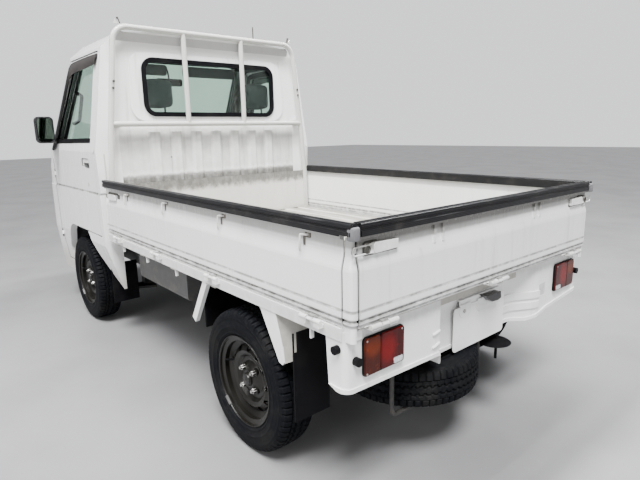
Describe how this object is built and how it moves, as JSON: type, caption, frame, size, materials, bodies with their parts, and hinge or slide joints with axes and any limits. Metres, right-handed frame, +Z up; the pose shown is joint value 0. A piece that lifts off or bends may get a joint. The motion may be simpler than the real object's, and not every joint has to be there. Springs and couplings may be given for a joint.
{
  "type": "kei truck",
  "caption": "Small cab-over pickup truck with drop-down side gates and tailgate, guard frame, opening doors, steered front wheels and a flat spare under the tail.",
  "frame": {"origin": "on the ground, at the middle of the overall length and width", "axes": "+X forward, +Y to the vehicle's left, +Z up"},
  "size_m": [3.395, 1.718, 1.824],
  "materials": {
    "body_paint": "gloss",
    "frame_paint": "satin",
    "black_plastic": "satin",
    "underbody": "matte",
    "cast_iron": "matte",
    "exhaust_steel": "matte",
    "tyre": "matte",
    "wheel_paint": "satin",
    "mudflap_rubber": "matte",
    "cab_lining": "matte",
    "seat_cloth": "matte",
    "glass": "gloss",
    "lamp_lens": "gloss",
    "lamp_red": "gloss",
    "plate": "satin"
  },
  "bodies": {
    "root": {"chassis_frame": "frame_paint", "engine_block": "cast_iron", "propshaft": "underbody", "rear_axle": "underbody", "rear_suspension": "underbody", "front_suspension": "underbody", "exhaust": "exhaust_steel", "fuel_tank": "frame_paint", "spare_tyre": "tyre", "spare_rim": "wheel_paint", "mudflaps": "mudflap_rubber", "wheel_stays": "body_paint", "cab_floor": "cab_lining", "cab_front_panel": "body_paint", "cab_roof": "body_paint", "cab_side_frames": "body_paint", "cab_rear_wall": "body_paint", "windscreen": "glass", "rear_window": "glass", "rear_window_seal": "mudflap_rubber", "front_bumper": "body_paint", "head_lamps": "lamp_lens", "dashboard": "cab_lining", "steering_column": "cab_lining", "seats": "seat_cloth", "headrests": "seat_cloth", "bed_floor": "body_paint", "bed_sills": "body_paint", "corner_posts": "body_paint", "gate_hinges": "body_paint", "rear_valance": "body_paint", "tail_lamps": "lamp_red", "number_plate": "plate", "plate_bracket": "black_plastic", "rubber_stoppers": "mudflap_rubber", "guard_frame": "body_paint"},
    "steering_wheel": {"steering_wheel": "cab_lining"},
    "door_left": {"door_panel_left": "body_paint", "door_glass_left": "glass", "mirror_left": "black_plastic"},
    "door_right": {"door_panel_right": "body_paint", "door_glass_right": "glass", "mirror_right": "black_plastic"},
    "side_gate_left": {"side_gate_left": "body_paint", "side_rail_left": "black_plastic"},
    "side_gate_right": {"side_gate_right": "body_paint", "side_rail_right": "black_plastic"},
    "tailgate": {"tailgate": "body_paint", "tailgate_rail": "black_plastic"},
    "knuckle_left": {"knuckle_left": "underbody"},
    "knuckle_right": {"knuckle_right": "underbody"},
    "wheel_front_left": {"tyre_front_left": "tyre", "rim_front_left": "wheel_paint"},
    "wheel_front_right": {"tyre_front_right": "tyre", "rim_front_right": "wheel_paint"},
    "wheel_rear_left": {"tyre_rear_left": "tyre", "rim_rear_left": "wheel_paint"},
    "wheel_rear_right": {"tyre_rear_right": "tyre", "rim_rear_right": "wheel_paint"}
  },
  "joints": [
    {"name": "wheel_front_left_spin", "type": "hinge", "parent": "knuckle_left", "child": "wheel_front_left", "pos_m": [0.8125, 0.65, 0.271], "axis": [0, 1, 0], "continuous": true},
    {"name": "wheel_front_right_spin", "type": "hinge", "parent": "knuckle_right", "child": "wheel_front_right", "pos_m": [0.8125, -0.65, 0.271], "axis": [0, 1, 0], "continuous": true},
    {"name": "wheel_rear_left_spin", "type": "hinge", "parent": "root", "child": "wheel_rear_left", "pos_m": [-1.0875, 0.65, 0.271], "axis": [0, 1, 0], "continuous": true},
    {"name": "wheel_rear_right_spin", "type": "hinge", "parent": "root", "child": "wheel_rear_right", "pos_m": [-1.0875, -0.65, 0.271], "axis": [0, 1, 0], "continuous": true},
    {"name": "steer_left", "type": "hinge", "parent": "root", "child": "knuckle_left", "pos_m": [0.8125, 0.606, 0.18], "axis": [0, -0.1582, 0.9874], "range_deg": [-34, 34]},
    {"name": "steer_right", "type": "hinge", "parent": "root", "child": "knuckle_right", "pos_m": [0.8125, -0.606, 0.18], "axis": [0, 0.1582, 0.9874], "range_deg": [-34, 34]},
    {"name": "steering_wheel_turn", "type": "hinge", "parent": "root", "child": "steering_wheel", "pos_m": [1.01, -0.342, 1.01], "axis": [-0.7431, 0, 0.6691], "range_deg": [-510, 510]},
    {"name": "door_left_hinge", "type": "hinge", "parent": "root", "child": "door_left", "pos_m": [1.219, 0.731, 0.7], "axis": [0, 0, -1], "range_deg": [0, 68]},
    {"name": "door_right_hinge", "type": "hinge", "parent": "root", "child": "door_right", "pos_m": [1.219, -0.731, 0.7], "axis": [0, 0, 1], "range_deg": [0, 68]},
    {"name": "side_gate_left_hinge", "type": "hinge", "parent": "root", "child": "side_gate_left", "pos_m": [-0.65, 0.732, 0.641], "axis": [-1, 0, 0], "range_deg": [0, 178]},
    {"name": "side_gate_right_hinge", "type": "hinge", "parent": "root", "child": "side_gate_right", "pos_m": [-0.65, -0.732, 0.641], "axis": [1, 0, 0], "range_deg": [0, 178]},
    {"name": "tailgate_hinge", "type": "hinge", "parent": "root", "child": "tailgate", "pos_m": [-1.692, 0, 0.641], "axis": [0, -1, 0], "range_deg": [0, 178]}
  ],
  "couplings": [
    {"joint": "steer_right", "follows": "steer_left", "ratio": 1},
    {"joint": "steering_wheel_turn", "follows": "steer_left", "ratio": 15}
  ]
}
